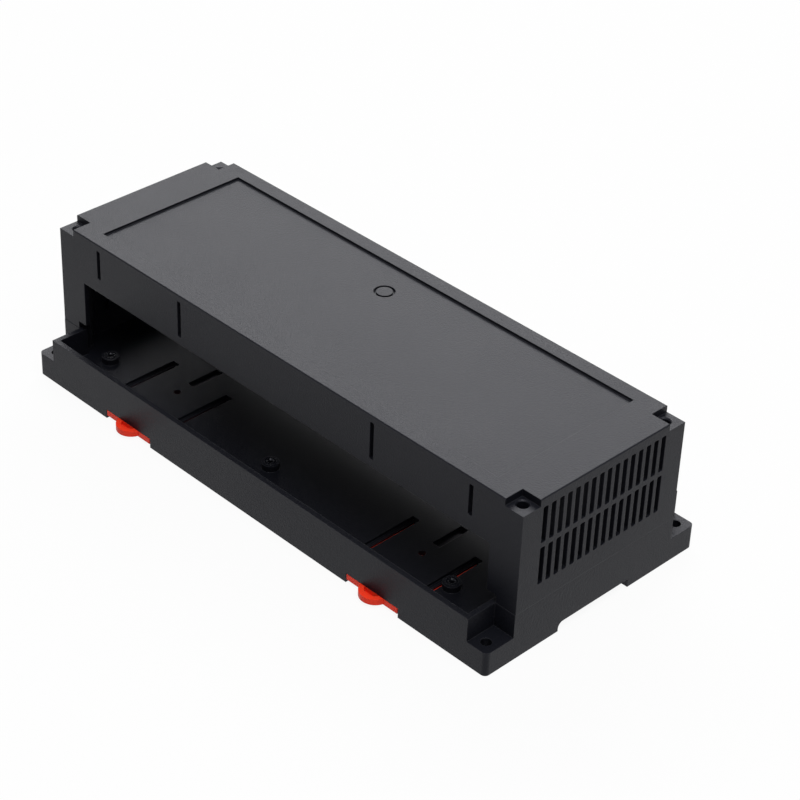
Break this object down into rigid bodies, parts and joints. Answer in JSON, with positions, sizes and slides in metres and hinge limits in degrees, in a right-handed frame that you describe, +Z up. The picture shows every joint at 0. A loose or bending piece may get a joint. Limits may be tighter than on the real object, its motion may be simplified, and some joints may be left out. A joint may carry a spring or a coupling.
{
  "type": "din rail enclosure",
  "caption": "Long black electronics case with a slotted cover on a base tray and red sliding clips for a 35 mm rail.",
  "frame": {"origin": "middle of the four panel screw holes, on the underside plane of the base", "axes": "+X along the rail, +Y away from the clip pull tabs, +Z up through the cover"},
  "size_m": [0.25, 0.1144, 0.065],
  "materials": {
    "case_plastic": "fine spark-eroded texture",
    "clip_plastic": "satin",
    "screw_steel": "zinc plated"
  },
  "bodies": {
    "case": {"base": "case_plastic", "cover": "case_plastic", "cover_screw_1": "screw_steel", "cover_screw_2": "screw_steel", "cover_screw_3": "screw_steel", "cover_screw_4": "screw_steel"},
    "left_clip": {"clip_left": "clip_plastic"},
    "right_clip": {"clip_right": "clip_plastic"}
  },
  "joints": [
    {"name": "left_clip_slide", "type": "slide", "parent": "case", "child": "left_clip", "axis": [0, -1, 0], "range_m": [0, 0.005]},
    {"name": "right_clip_slide", "type": "slide", "parent": "case", "child": "right_clip", "axis": [0, -1, 0], "range_m": [0, 0.005]}
  ]
}
